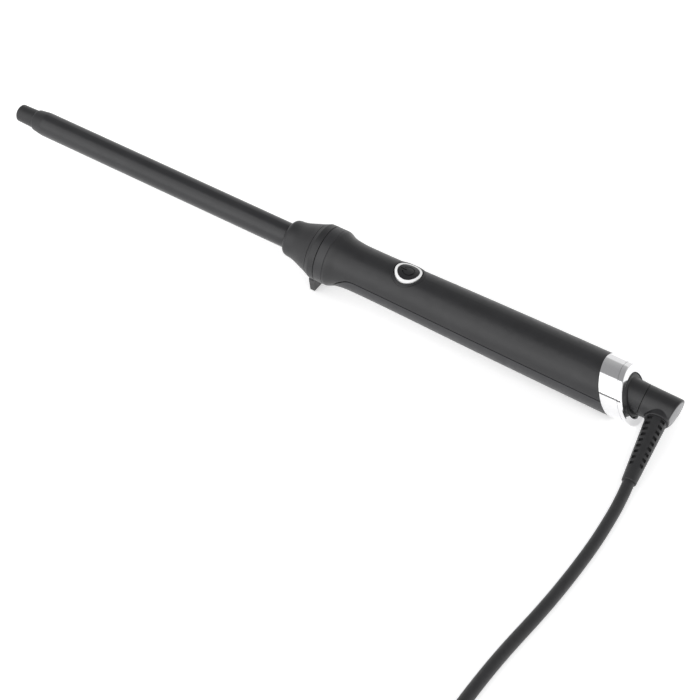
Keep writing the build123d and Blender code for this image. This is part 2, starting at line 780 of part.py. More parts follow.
with BuildPart() as swivel_end_disc:
    with BuildSketch(END_FACE.offset(-END_SINK)):
        Circle(DISC_R)
    extrude(amount=END_SINK + 1)
    dome_r = (DISC_R**2 + 1.0) / 2
    with Locations(END_FACE.offset(1.0 - dome_r).location):
        Sphere(dome_r, mode=Mode.INTERSECT)
swivel_end_disc.part.label = "swivel_end_disc"
export_step(swivel_end_disc.part, "parts/swivel_end_disc.step")

# ======================================================================================
# Boot: a tapered strain relief with windows between four ribs
# ======================================================================================
WINDOW_SPIN = 39.0
WINDOW_SPINS = (90 - WINDOW_SPIN, 90 + WINDOW_SPIN, 270 - WINDOW_SPIN, 270 + WINDOW_SPIN)
WINDOW_DEEP = 2.6
WINDOW_WIDE = 3.0
WINDOW_HIGH = 1.75
BOOT_PLUG_START = 6.5
BOOT_PLUG_R = 4.2


def boot_radius(along):
    """The boot's radius at a distance from the wand's axis."""
    done = (along - BOOT_START) / (BOOT_LONG - BOOT_START)
    return BOOT_ROOT_R + (BOOT_TIP_R - BOOT_ROOT_R) * done


with BuildPart() as cord_strain_relief:
    with BuildSketch(BOOT.offset(BOOT_START)):
        Circle(BOOT_ROOT_R)
    with BuildSketch(BOOT.offset(BOOT_LONG)):
        Circle(BOOT_TIP_R)
    loft()
    fillet(cord_strain_relief.edges().sort_by(BOOT_AXIS)[-1], 0.5)
    with BuildSketch(BOOT.offset(BOOT_PLUG_START)):
        Circle(BOOT_PLUG_R)
    extrude(amount=BOOT_START - BOOT_PLUG_START)
    for step in range(SLOT_COUNT):
        along = SLOT_FIRST + step * SLOT_PITCH
        radius = boot_radius(along)
        deep = WINDOW_DEEP * radius / BOOT_ROOT_R
        wide = WINDOW_WIDE * radius / BOOT_ROOT_R
        for spin in WINDOW_SPINS:
            at = BOOT.location * Location((0, 0, along), (0, 0, spin)) * Pos(radius)
            with Locations(at):
                Box(deep, wide, WINDOW_HIGH, mode=Mode.SUBTRACT)
cord_strain_relief.part.label = "cord_strain_relief"
export_step(cord_strain_relief.part, "parts/cord_strain_relief.step")

# ======================================================================================
# Cord: the stretch on the table, the coil, its tie and the plug
# ======================================================================================
corners = [Vector(*p) for p in CORD_ROUTE]
bends = []
for before, corner, after in zip(corners, corners[1:], corners[2:]):
    shorter = min((corner - before).length, (after - corner).length)
    half_turn = radians((corner - before).get_angle(after - corner)) / 2
    bends.append(0.45 * shorter / tan(half_turn))
print("cord bend radii:", [round(bend) for bend in bends])

with BuildLine() as cord_path:
    FilletPolyline(*corners, radius=bends)

with BuildPart() as power_cord:
    with BuildSketch(Plane(origin=cord_path.line @ 0, z_dir=cord_path.line % 0)) as cord_end:
        Circle(CORD_R)
    sweep(cord_end.sketch, path=cord_path.line)
power_cord.part.label = "power_cord"
export_step(power_cord.part, "parts/power_cord.step")
cord_long = cord_path.wires()[0].length
straight_volume = pi * CORD_R**2 * cord_long
print("cord length on the table:", round(cord_long, 1))
print("cord volume over section times length:", round(power_cord.part.volume / straight_volume, 4))

COIL_HALF = TURNS_WIDE * CORD_R
COIL_HIGH = 2 * TURNS_HIGH * CORD_R
COIL_SIDE = Plane(origin=(*COIL_CENTRE, 0), x_dir=(1, 0, 0), z_dir=(0, -1, 0))
COIL_AXIS = Axis((*COIL_CENTRE, 0), (0, 0, 1))
PLUG_HEIGHT = COIL_HIGH + PLUG_THICK / 2 + 0.1
LAST_TURN = (-90, 110)
WHOLE_TURN = (0, 360)
TIE = (TIE_AT - TIE_ARC / 2, TIE_ARC)
COIL_IN = COIL_R - COIL_HALF
COIL_OUT = COIL_R + COIL_HALF


def coil_section(turned, low, high, inner, outer, mode=Mode.ADD):
    """Turns a rectangle about the coil's middle, by (start, arc) in degrees."""
    start, arc = turned
    side = Plane(COIL_SIDE.location * Location((0, 0, 0), (0, start, 0)))
    with BuildSketch(side) as face:
        with Locations(((inner + outer) / 2, (low + high) / 2)):
            Rectangle(outer - inner, high - low)
    revolve(face.sketch, axis=COIL_AXIS, revolution_arc=arc, mode=mode)


with BuildPart() as cord_coil:
    coil_section(WHOLE_TURN, 0, COIL_HIGH, COIL_IN, COIL_OUT)
    fillet(cord_coil.edges().filter_by(GeomType.CIRCLE), 2.0)
    # the last turn, which climbs over the coil to the plug
    ridge = (COIL_HIGH - 2, PLUG_HEIGHT + CORD_R)
    coil_section(LAST_TURN, *ridge, LAST_TURN_R - CORD_R, LAST_TURN_R + CORD_R)
    coil_section(TIE, -1, TIE_THICK, COIL_IN - 2, COIL_OUT + 2, mode=Mode.SUBTRACT)
cord_coil.part.label = "cord_coil"
export_step(cord_coil.part, "parts/cord_coil.step")

with BuildPart() as cord_tie:
    coil_section(TIE, 0, COIL_HIGH + TIE_THICK, COIL_IN - TIE_THICK, COIL_OUT + TIE_THICK)
    coil_section(TIE, TIE_THICK, COIL_HIGH, COIL_IN, COIL_OUT, mode=Mode.SUBTRACT)
cord_tie.part.label = "cord_tie"
export_step(cord_tie.part, "parts/cord_tie.step")

# The plug lies on the coil. Its own plane: z from the cord to the pins, x across the pins.
PLUG = Plane(
    origin=(COIL_CENTRE[0], COIL_CENTRE[1] - LAST_TURN_R, PLUG_HEIGHT),
    x_dir=(0, 1, 0),
    z_dir=(-1, 0, 0),
)
PLUG_FACE = PLUG_RELIEF + PLUG_LONG

with BuildPart() as plug_strain_relief:
    with BuildSketch(PLUG):
        Circle(CORD_R + 0.7)
    with BuildSketch(PLUG.offset(PLUG_RELIEF)):
        Circle(5.2)
    loft()
plug_strain_relief.part.label = "plug_strain_relief"
export_step(plug_strain_relief.part, "parts/plug_strain_relief.step")

with BuildPart() as plug_body:
    with BuildSketch(PLUG.offset(PLUG_RELIEF)):
        RectangleRounded(16.0, 11.6, 5.2)
    with BuildSketch(PLUG.offset(PLUG_RELIEF + 0.6 * PLUG_LONG)):
        RectangleRounded(PLUG_WIDE - 3, PLUG_THICK - 0.6, 6.0)
    with BuildSketch(PLUG.offset(PLUG_FACE)):
        RectangleRounded(PLUG_WIDE, PLUG_THICK, 6.0)
    loft(ruled=True)
plug_body.part.label = "plug_body"
export_step(plug_body.part, "parts/plug_body.step")

with BuildPart() as plug_pins:
    with BuildSketch(PLUG.offset(PLUG_FACE)):
        with GridLocations(PIN_SPACING, 0, 2, 1):
            Circle(PIN_CORE_R)
    extrude(amount=PIN_SLEEVE_LONG)
    with BuildSketch(PLUG.offset(PLUG_FACE + PIN_SLEEVE_LONG)):
        with GridLocations(PIN_SPACING, 0, 2, 1):
            Circle(PIN_R)
    extrude(amount=PIN_LONG - PIN_SLEEVE_LONG)
    fillet(plug_pins.edges().group_by(Axis.X)[0], 1.2)
plug_pins.part.label = "plug_pins"
export_step(plug_pins.part, "parts/plug_pins.step")

with BuildPart() as plug_pin_sleeves:
    with BuildSketch(PLUG.offset(PLUG_FACE)):
        with GridLocations(PIN_SPACING, 0, 2, 1):
            Circle(PIN_R)
            Circle(PIN_CORE_R, mode=Mode.SUBTRACT)
    extrude(amount=PIN_SLEEVE_LONG)
plug_pin_sleeves.part.label = "plug_pin_sleeves"
export_step(plug_pin_sleeves.part, "parts/plug_pin_sleeves.step")
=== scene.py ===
"""A curling wand lying on its stand foot and end ring, with its mains cord wound up beside it."""

import json
from math import copysign, cos, pi, radians, sin, tau

import bmesh
import bpy
from mathutils import Matrix, Vector


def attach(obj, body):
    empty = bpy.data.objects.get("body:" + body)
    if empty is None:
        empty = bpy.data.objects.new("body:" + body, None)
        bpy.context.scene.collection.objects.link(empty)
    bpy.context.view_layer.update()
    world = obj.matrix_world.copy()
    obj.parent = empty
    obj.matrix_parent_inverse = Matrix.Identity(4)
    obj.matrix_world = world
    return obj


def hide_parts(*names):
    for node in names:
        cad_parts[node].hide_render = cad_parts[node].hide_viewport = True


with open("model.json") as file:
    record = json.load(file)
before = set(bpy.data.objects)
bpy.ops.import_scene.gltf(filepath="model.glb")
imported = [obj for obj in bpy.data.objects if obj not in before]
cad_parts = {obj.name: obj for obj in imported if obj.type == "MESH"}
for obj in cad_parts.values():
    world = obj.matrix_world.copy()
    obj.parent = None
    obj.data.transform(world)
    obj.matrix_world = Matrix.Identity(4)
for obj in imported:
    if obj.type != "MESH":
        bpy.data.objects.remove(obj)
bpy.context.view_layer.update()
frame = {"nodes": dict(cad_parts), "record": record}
nodes = frame["nodes"]
scene = bpy.context.scene
MM = 0.001

# ======================================================================================
# Camera
# ======================================================================================
CAMERA_AT = Vector((0.2777, -0.4639, 0.4801))
CAMERA_TURN = radians(29.01)
CAMERA_DOWN = radians(44.30)
CAMERA_ROLL = radians(2.28)
LENS = 68.37


def make_camera():
    """The photograph's own viewpoint, turned, tilted down and rolled a little."""
    flat = cos(CAMERA_DOWN)
    forward = Vector((-sin(CAMERA_TURN) * flat, cos(CAMERA_TURN) * flat, -sin(CAMERA_DOWN)))
    level = Vector((cos(CAMERA_TURN), sin(CAMERA_TURN), 0))
    upright = level.cross(forward)
    right = level * cos(CAMERA_ROLL) + upright * sin(CAMERA_ROLL)
    up = upright * cos(CAMERA_ROLL) - level * sin(CAMERA_ROLL)
    lens = bpy.data.cameras.new("camera")
    lens.lens = LENS
    lens.clip_start = 0.01
    lens.clip_end = 50
    camera = bpy.data.objects.new("camera", lens)
    scene.collection.objects.link(camera)
    turned = Matrix((right, up, -forward)).transposed()
    camera.matrix_world = Matrix.Translation(CAMERA_AT) @ turned.to_4x4()
    scene.camera = camera


make_camera()

# ======================================================================================
# Cord
# ======================================================================================
CORD_R = 0.0029
CORD_D = 2 * CORD_R
BOOT_AT = Vector((0.19460, 0, 0.01402))  # where the boot's middle line meets the wand's axis
BOOT_START = 0.0086  # how far along the boot's middle line its rubber starts
# the same route as the CAD cord's, from the boot's tip to the coil
ROUTE = [
    (0.1970, -0.0444, 0.0044),
    (0.1974, -0.0515, 0.0029),
    (0.1979, -0.0644, 0.0029),
    (0.1972, -0.0890, 0.0029),
    (0.1932, -0.1250, 0.0029),
    (0.1853, -0.1670, 0.0029),
    (0.1815, -0.2120, 0.0029),
    (0.1844, -0.2545, 0.0029),
    (0.1842, -0.2920, 0.0029),
]
BOOT_WAY = (Vector(ROUTE[0]) - BOOT_AT).normalized()
COIL_AT = Vector((0.1415, -0.2920, 0))
COIL_R = 0.034
COIL_WIDE = 4  # turns side by side
OUTER_R = COIL_R + (COIL_WIDE - 1) * CORD_R
INNER_R = COIL_R - (COIL_WIDE - 1) * CORD_R
LAYER_TURNS = (4, 4, 3)
# where in a turn, in degrees, each layer's cord moves to the next radius, and climbs at its end
LAYER_STEPS = ((174, 360), (87, 273), (0, 186))
LAYER_CLIMBS = ((130, 316), (43, 229), None)
TURN_POINTS = 18
TIE_AT = 150.0  # degrees round the coil
TIE_THICK = 0.001
TIE_LIFTS = (1.0, 0.5, 0.0)  # how much of the tie's thickness lifts each layer over it
TIE_EASE = (5, 45)  # how far from the tie, in degrees, the lift starts to fade, and ends
LAST_R = 0.026  # the radius of the last quarter turn, over the coil
LAST_TURN = 90
PLUG_UP = 0.02435
CLIMB_FROM = 280.0  # where in the last whole turn the cord starts to climb to the plug
PLUG_INSIDE = (0.0, 0.012, 0.030)  # points on the cord's end, inside the plug


def ease(value, start, end):
    """From 0 to 1 as value goes from start to end, slowly at both ends."""
    done = min(1.0, max(0.0, (value - start) / (end - start)))
    return done * done * (3 - 2 * done)


def coil_place(turned):
    """The radius and height of the coil's cord after it has turned by so many degrees.

    The first layer winds inwards, the second outwards and the third inwards. Each step to
    the next radius or layer takes about half a turn, and a turn steps aside before the
    turn under it climbs, so that no two of them meet."""
    turn, part = divmod(turned, 360.0)
    layer, step = divmod(int(turn), COIL_WIDE)
    last_of_layer = step == COIL_WIDE - 1
    shift = step if last_of_layer else step + ease(part, *LAYER_STEPS[layer])
    winds_out = layer == 1
    radius = INNER_R + CORD_D * shift if winds_out else OUTER_R - CORD_D * shift
    height = (2 * layer + 1) * CORD_R
    if last_of_layer and LAYER_CLIMBS[layer]:
        height += CORD_D * ease(part, *LAYER_CLIMBS[layer])
    from_tie = abs(part - (360 - TIE_AT))
    height += TIE_LIFTS[layer] * TIE_THICK * (1 - ease(from_tie, *TIE_EASE))
    whole_turns = 360 * sum(LAYER_TURNS)
    last = ease(turned, whole_turns - 360 + CLIMB_FROM, whole_turns + LAST_TURN)
    radius += (LAST_R - INNER_R) * last
    height += (PLUG_UP - height) * last
    return radius, height


def coil_points():
    """Control points of the whole coil, clockwise as seen from above."""
    points = []
    total = sum(LAYER_TURNS) * 360 + LAST_TURN
    steps = round(total * TURN_POINTS / 360)
    outward = 1 / cos(pi / TURN_POINTS)  # the spline runs inside its control points
    for i in range(1, steps):
        turned = total * i / steps
        radius, height = coil_place(turned)
        angle = -radians(turned)
        side = Vector((cos(angle), sin(angle), 0)) * radius * outward
        points.append(COIL_AT + side + Vector((0, 0, height)))
    return points


def make_line(name, points, radius):
    """A round tube along one smooth NURBS spline, and the points that it follows."""
    curve = bpy.data.curves.new(name, "CURVE")
    curve.dimensions = "3D"
    curve.resolution_u = 8
    spline = curve.splines.new("NURBS")
    spline.points.add(len(points) - 1)
    for point, at in zip(spline.points, points):
        point.co = (*at, 1)
    spline.order_u = 3
    spline.use_endpoint_u = True
    guide = bpy.data.objects.new("guide", curve)
    scene.collection.objects.link(guide)
    line = bpy.data.meshes.new_from_object(guide)
    path = [tuple(vertex.co) for vertex in line.vertices]
    curve.bevel_depth = radius
    curve.bevel_resolution = 8
    curve.use_fill_caps = True
    bpy.context.view_layer.update()
    tube = bpy.data.meshes.new_from_object(guide)
    tube.name = name
    tube.polygons.foreach_set("use_smooth", [True] * len(tube.polygons))
    bpy.data.objects.remove(guide)
    piece = bpy.data.objects.new(name, tube)
    scene.collection.objects.link(piece)
    return piece, path


cord_exit = BOOT_AT + BOOT_WAY * BOOT_START
plug_start = COIL_AT + Vector((0, -LAST_R, PLUG_UP))
into_plug = [plug_start - Vector((inside, 0, 0)) for inside in PLUG_INSIDE]
cord_points = [cord_exit, *[Vector(p) for p in ROUTE], *coil_points(), *into_plug]
cord, cord_path = make_line("mains_cord", cord_points, CORD_R)
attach(cord, "swivel")
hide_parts("power_cord", "cord_coil")

# ======================================================================================
# Pieces on the cord: the tie, the plug's strain relief and the plug's body
# ======================================================================================
STRAP_HALF = 0.0041
STRAP_THICK = 0.0008
STRAP_TURNS = 1.32  # the strap's end lies over its start
STRAP_STEPS = 150
STRAP_ROWS = 8
STRAP_SQUARE = 0.42  # the power that rounds its loop; 1 is an ellipse and 0 a rectangle
STRAP_SLACK = (0.62, 0.1)  # in strap thicknesses, beside the coil and over it
STRAP_LAP = 0.078  # how much wider its loop is where its end lies over its start
STRAP_LAP_HIGH = 1.35  # the same upwards, as a share of that
STRAP_LAP_FROM = 0.93
STRAP_LAP_TO = 1.01
STRAP_END = (0.35, 0.03)  # how much its end narrows, and over how much of a turn
STRAP_EDGE = 0.00015
COIL_HALF = COIL_WIDE * CORD_R
COIL_HIGH = 2 * len(LAYER_TURNS) * CORD_R
RELIEF_LONG = 0.020
RELIEF_R = (0.0036, 0.0052)
RELIEF_ENDS = 0.004  # the plain length at its two ends together
RIBS = 6
RIB_START = 0.0018
# along a rib's pitch, the place and the depth in millimetres of the groove before it
RIB_PROFILE = ((0.0, 0.0), (0.1, 0.12), (0.18, 0.75), (0.42, 0.75), (0.5, 0.12), (0.6, 0.0))
PLUG_LONG = 0.034
PLUG_SECTIONS = 28
PLUG_EDGE = (0.0006, 0.0010)  # how far its rounded rims reach, at the cord and at the face
PLUG_HALF_WIDE = (0.0073, 0.0101)  # at the cord, and how much more at the face
PLUG_HALF_HIGH = (0.0056, 0.0011)
PLUG_SQUARE = (2.6, 1.2)  # the same for how square its corners are
PLUG_WIDENS = (-0.1, 0.75)  # the shares of its length that it widens and thickens over
PLUG_THICKENS = (0, 0.8)
GRIP_FROM = 0.3
GRIP_TO = 0.75
GRIP_PITCH = 0.09
GRIP_DEEP = 0.0004
ROUND_STEPS = 64


def add_mesh(name, points, faces):
    """A smooth mesh piece that rides on the swivel, with the cord."""
    mesh = bpy.data.meshes.new(name)
    mesh.from_pydata(points, [], faces)
    mesh.update()
    form = bmesh.new()
    form.from_mesh(mesh)
    bmesh.ops.recalc_face_normals(form, faces=form.faces)
    form.to_mesh(mesh)
    form.free()
    mesh.polygons.foreach_set("use_smooth", [True] * len(mesh.polygons))
    piece = bpy.data.objects.new(name, mesh)
    scene.collection.objects.link(piece)
    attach(piece, "swivel")
    return piece


def add_modifier(piece, kind, **numbers):
    """Adds a modifier and sets its numbers."""
    modifier = piece.modifiers.new(kind.lower(), kind)
    for name, number in numbers.items():
        setattr(modifier, name, number)


def skin(rings):
    """A closed skin over rings of the same number of points, one ring after another."""
    count = len(rings[0])
    points = [point for ring in rings for point in ring]
    faces = []
    for row in range(len(rings) - 1):
        for i in range(count):
            j = (i + 1) % count
            here = row * count
            ahead = here + count
            faces.append((here + i, here + j, ahead + j, ahead + i))
    faces.append(tuple(range(count)))
    faces.append(tuple(range(len(points) - count, len(points))))
    return points, faces


def rounded(wave, power):
    """A sine or cosine raised to a power, with its sign kept."""
    return copysign(abs(wave) ** power, wave)


def strap_place(turns):
    """A place round the coil's section, from the middle of its outer side over the top."""
    beside, over = STRAP_SLACK
    angle = turns * tau
    across = rounded(cos(angle), STRAP_SQUARE) * (COIL_HALF + STRAP_THICK * beside)
    up = rounded(sin(angle), STRAP_SQUARE) * (COIL_HIGH / 2 + STRAP_THICK * over)
    lap = STRAP_LAP * ease(turns, STRAP_LAP_FROM, STRAP_LAP_TO)
    middle = (COIL_HIGH + TIE_THICK) / 2
    return COIL_R + across * (1 + lap), middle + up * (1 + STRAP_LAP_HIGH * lap)


def make_tie():
    """A hook-and-loop strap round the coil, with its end pressed down over its start."""
    out = Vector((cos(radians(TIE_AT)), sin(radians(TIE_AT)), 0))
    along = Vector((-out.y, out.x, 0))
    narrower, end_long = STRAP_END
    points = []
    for step in range(STRAP_STEPS + 1):
        turns = STRAP_TURNS * step / STRAP_STEPS
        radius, height = strap_place(turns)
        narrow = 1 - narrower * ease(turns, STRAP_TURNS - end_long, STRAP_TURNS)
        for row in range(STRAP_ROWS + 1):
            side = (2 * row / STRAP_ROWS - 1) * STRAP_HALF * narrow
            points.append(COIL_AT + out * radius + along * side + Vector((0, 0, height)))
    faces = []
    wide = STRAP_ROWS + 1
    for step in range(STRAP_STEPS):
        for row in range(STRAP_ROWS):
            corner = step * wide + row
            faces.append((corner, corner + 1, corner + wide + 1, corner + wide))
    tie = add_mesh("cord_strap", points, faces)
    add_modifier(tie, "SOLIDIFY", thickness=STRAP_THICK, offset=0)
    add_modifier(tie, "BEVEL", width=STRAP_EDGE, segments=2, limit_method="ANGLE")
    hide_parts("cord_tie")
    return tie


def on_plug(along, across, up):
    """A place on the plug, along it from where its cord ends."""
    return COIL_AT + Vector((-along, -LAST_R + across, PLUG_UP + up))


def round_ring(along, radius):
    """A round ring of points about the plug's middle line."""
    turned = [tau * i / ROUND_STEPS for i in range(ROUND_STEPS)]
    return [on_plug(along, radius * cos(a), radius * sin(a)) for a in turned]


def make_plug_relief():
    """The plug's tapered strain relief, with ribs that let it bend."""
    slim, wide = RELIEF_R
    # its small end: inside on the cord, round the rim and onto the outside
    rings = [
        round_ring(0.6 * MM, CORD_R * 0.98),
        round_ring(0.0, slim - 0.3 * MM),
        round_ring(0.5 * MM, slim),
    ]
    pitch = (RELIEF_LONG - RELIEF_ENDS) / RIBS
    for rib in range(RIBS):
        for part, depth in RIB_PROFILE:
            along = RIB_START + (rib + part) * pitch
            radius = slim + (wide - slim) * along / RELIEF_LONG
            rings.append(round_ring(along, radius - depth * MM))
    # its large end, which runs on into the plug
    rings.append(round_ring(RELIEF_LONG - 0.8 * MM, wide - 0.1 * MM))
    rings.append(round_ring(RELIEF_LONG + 1.0 * MM, wide - 0.1 * MM))
    relief = add_mesh("plug_cord_relief", *skin(rings))
    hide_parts("plug_strain_relief")
    return relief


def plug_ring(along, half_wide, half_high, square):
    """A rounded oblong ring round the plug; a higher square power gives fuller corners."""
    ring = []
    for i in range(ROUND_STEPS):
        angle = tau * i / ROUND_STEPS
        across = rounded(cos(angle), 2 / square) * half_wide
        up = rounded(sin(angle), 2 / square) * half_high
        ring.append(on_plug(along, across, up))
    return ring


def make_plug_body():
    """The flat plug's body, which widens to its face and has shallow grip grooves."""
    face = RELIEF_LONG + PLUG_LONG
    side_start = RELIEF_LONG + PLUG_EDGE[0]
    side_long = PLUG_LONG - sum(PLUG_EDGE)
    # the rim at its cord end
    rings = [plug_ring(RELIEF_LONG, 6.0 * MM, 4.6 * MM, 2.2)]
    for section in range(PLUG_SECTIONS + 1):
        part = section / PLUG_SECTIONS
        half_wide = PLUG_HALF_WIDE[0] + PLUG_HALF_WIDE[1] * ease(part, *PLUG_WIDENS)
        half_high = PLUG_HALF_HIGH[0] + PLUG_HALF_HIGH[1] * ease(part, *PLUG_THICKENS)
        if GRIP_FROM < part < GRIP_TO:
            half_wide -= GRIP_DEEP * (1 - cos(tau * (part - GRIP_FROM) / GRIP_PITCH)) / 2
        square = PLUG_SQUARE[0] + PLUG_SQUARE[1] * part
        rings.append(plug_ring(side_start + part * side_long, half_wide, half_high, square))
    # the rounded rim of its face
    rings.append(plug_ring(face - 0.3 * MM, 17.1 * MM, 6.4 * MM, 3.7))
    rings.append(plug_ring(face, 16.6 * MM, 5.9 * MM, 3.6))
    body = add_mesh("plug_housing", *skin(rings))
    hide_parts("plug_body")
    return body


tie = make_tie()
plug_relief = make_plug_relief()
plug_housing = make_plug_body()

# ======================================================================================
# Floor and light
# ======================================================================================
FLOOR_HALF = 12.0
FLOOR_GLOW = 0.42
# the sky's heights, from the horizon at 0 to straight up at 1, and their colours
SKY_ENDS = ((0.0, (0.95, 0.95, 0.95, 1)), (0.95, (0.36, 0.36, 0.365, 1)))
SKY_LEVELS = ((0.50, (0.90, 0.90, 0.90, 1)), (0.60, (0.50, 0.50, 0.50, 1)))
SOFTBOX_AT = (0.0, -1.45, 1.08)
SOFTBOX_SIZE = (3.4, 2.6)
SOFTBOX_WATTS = 31


def make_floor():
    """A plain pale floor that runs out of every view."""
    mesh = bpy.data.meshes.new("floor")
    half = FLOOR_HALF
    corners = [(-half, -half, 0), (half, -half, 0), (half, half, 0), (-half, half, 0)]
    mesh.from_pydata(corners, [], [(0, 1, 2, 3)])
    floor = bpy.data.objects.new("floor", mesh)
    scene.collection.objects.link(floor)
    paper = bpy.data.materials.new("floor_paper")
    paper.use_nodes = True
    shader = paper.node_tree.nodes["Principled BSDF"]
    shader.inputs["Base Color"].default_value = (0.93, 0.93, 0.93, 1)
    shader.inputs["Emission Color"].default_value = (1, 1, 1, 1)
    shader.inputs["Emission Strength"].default_value = FLOOR_GLOW
    shader.inputs["Roughness"].default_value = 0.9
    shader.inputs["Specular IOR Level"].default_value = 0.1
    mesh.materials.append(paper)


def make_world():
    """A sky of soft light that is pale at the horizon and grey overhead."""
    world = bpy.data.worlds.new("studio")
    scene.world = world
    world.use_nodes = True
    tree = world.node_tree
    back = tree.nodes["Background"]
    where = tree.nodes.new("ShaderNodeTexCoord")
    split = tree.nodes.new("ShaderNodeSeparateXYZ")
    ramp = tree.nodes.new("ShaderNodeValToRGB")
    for stop, (position, colour) in zip(ramp.color_ramp.elements, SKY_ENDS):
        stop.position = position
        stop.color = colour
    for position, colour in SKY_LEVELS:
        ramp.color_ramp.elements.new(position).color = colour
    tree.links.new(where.outputs["Generated"], split.inputs[0])
    tree.links.new(split.outputs["Z"], ramp.inputs[0])
    tree.links.new(ramp.outputs["Color"], back.inputs["Color"])
    back.inputs["Strength"].default_value = 1.0


def make_light():
    """One large soft panel in front of the wand, turned towards it."""
    lamp = bpy.data.lights.new("front_softbox", "AREA")
    lamp.shape = "RECTANGLE"
    lamp.size, lamp.size_y = SOFTBOX_SIZE
    lamp.energy = SOFTBOX_WATTS
    light = bpy.data.objects.new("front_softbox", lamp)
    light.location = SOFTBOX_AT
    light.rotation_mode = "QUATERNION"
    light.rotation_quaternion = (-Vector(SOFTBOX_AT)).to_track_quat("-Z", "Y")
    scene.collection.objects.link(light)


make_floor()
make_world()
make_light()
scene.view_settings.view_transform = "Standard"

# ======================================================================================
# Materials
# ======================================================================================


class Finish:
    """Builds one procedural material, node by node."""

    def __init__(self, name):
        self.material = bpy.data.materials.new(name)
        self.material.use_nodes = True
        self.tree = self.material.node_tree
        self.shader = self.tree.nodes["Principled BSDF"]
        self.where = self.tree.nodes.new("ShaderNodeTexCoord").outputs["Object"]
        self.bump = None

    def stretched(self, scale):
        """The object's own coordinates, in metres, scaled by axis."""
        node = self.tree.nodes.new("ShaderNodeMapping")
        node.inputs["Scale"].default_value = scale
        self.tree.links.new(self.where, node.inputs["Vector"])
        return node.outputs["Vector"]

    def noise(self, scale, detail=3.0, rough=0.55, where=None):
        """Fractal noise, from 0 to 1."""
        node = self.tree.nodes.new("ShaderNodeTexNoise")
        node.inputs["Scale"].default_value = scale
        node.inputs["Detail"].default_value = detail
        node.inputs["Roughness"].default_value = rough
        self.tree.links.new(where or self.where, node.inputs["Vector"])
        return node.outputs["Fac"]

    def cells(self, scale):
        """The distance to the nearest of scattered points."""
        node = self.tree.nodes.new("ShaderNodeTexVoronoi")
        node.inputs["Scale"].default_value = scale
        self.tree.links.new(self.where, node.inputs["Vector"])
        return node.outputs["Distance"]

    def colour(self, value, first, second, from_low=0.3, from_high=0.7):
        """Colours the surface from the first colour to the second as value grows."""
        node = self.tree.nodes.new("ShaderNodeValToRGB")
        node.color_ramp.elements[0].position = from_low
        node.color_ramp.elements[0].color = (*first, 1)
        node.color_ramp.elements[1].position = from_high
        node.color_ramp.elements[1].color = (*second, 1)
        self.tree.links.new(value, node.inputs["Fac"])
        self.tree.links.new(node.outputs["Color"], self.shader.inputs["Base Color"])

    def rough(self, value, low, high):
        """Makes the roughness go from low to high as value goes from 0.3 to 0.7."""
        node = self.tree.nodes.new("ShaderNodeMapRange")
        for socket, number in zip(node.inputs[1:5], (0.3, 0.7, low, high)):
            socket.default_value = number
        self.tree.links.new(value, node.inputs["Value"])
        self.tree.links.new(node.outputs["Result"], self.shader.inputs["Roughness"])

    def dent(self, value, depth):
        """Adds a bump of a depth in metres over the ones before it."""
        node = self.tree.nodes.new("ShaderNodeBump")
        node.inputs["Strength"].default_value = 1.0
        node.inputs["Distance"].default_value = depth
        self.tree.links.new(value, node.inputs["Height"])
        if self.bump:
            self.tree.links.new(self.bump, node.inputs["Normal"])
        self.bump = node.outputs["Normal"]
        self.tree.links.new(self.bump, self.shader.inputs["Normal"])

    def set(self, **numbers):
        """Sets plain numbers on the shader's own sockets."""
        for name, number in numbers.items():
            self.shader.inputs[name.replace("_", " ")].default_value = number


def grey(level, blue):
    """A near-neutral colour, with its blue scaled."""
    return (level, level, level * blue)


def moulded(name, level, rough, blue=1.1):
    """Moulded plastic with a fine spark-eroded grain and faint handling marks."""
    grain, depth, spread = 0.00035, 0.00001, 0.06
    finish = Finish(name)
    patches = finish.noise(55, 4, 0.6)
    finish.colour(patches, grey(level * 0.86, blue), grey(level * 1.16, blue))
    marks = finish.noise(240, 5, 0.65)
    finish.rough(marks, rough - spread, rough + spread)
    finish.dent(finish.noise(1 / grain, 2, 0.5), depth)
    finish.dent(finish.cells(0.45 / grain), depth * 0.5)
    finish.set(IOR=1.5)
    return finish


def rubbery(name, level, rough):
    """Soft cord rubber: a dull skin with a fine grain and a trace of dust."""
    blue = 1.08
    finish = Finish(name)
    dust = finish.noise(420, 6, 0.7)
    finish.colour(dust, grey(level * 0.85, blue), grey(level * 1.35, blue), 0.35, 0.8)
    finish.rough(finish.noise(160, 4), rough - 0.07, rough + 0.08)
    finish.dent(finish.noise(2600, 3, 0.6), 0.00002)
    finish.dent(finish.noise(300, 2), 0.00004)
    finish.set(IOR=1.48, Sheen_Weight=0.06, Sheen_Roughness=0.5)
    return finish


def metal(name, colour, rough, stretch):
    """Metal with fine drawn lines and uneven polish."""
    depth, spread = 0.000004, 0.04
    finish = Finish(name)
    lines = finish.noise(1.0, 4, 0.7, finish.stretched(stretch))
    darker = tuple(c * 0.93 for c in colour)
    finish.colour(lines, darker, colour)
    finish.rough(finish.noise(130, 5, 0.7), rough - spread, rough + spread)
    finish.dent(lines, depth)
    finish.set(Metallic=1.0)
    return finish


def barrel_coating():
    """The barrel's baked coating: satin, with a fine orange peel and light scuffs along it."""
    finish = Finish("barrel_coating")
    finish.colour(finish.noise(70, 4), grey(0.013, 1.12), grey(0.019, 1.1))
    scuffs = finish.noise(1.0, 5, 0.7, finish.stretched((90, 900, 900)))
    finish.rough(scuffs, 0.27, 0.36)
    finish.dent(finish.noise(1500, 2), 0.000006)
    finish.dent(scuffs, 0.000004)
    finish.set(IOR=1.5)
    return finish


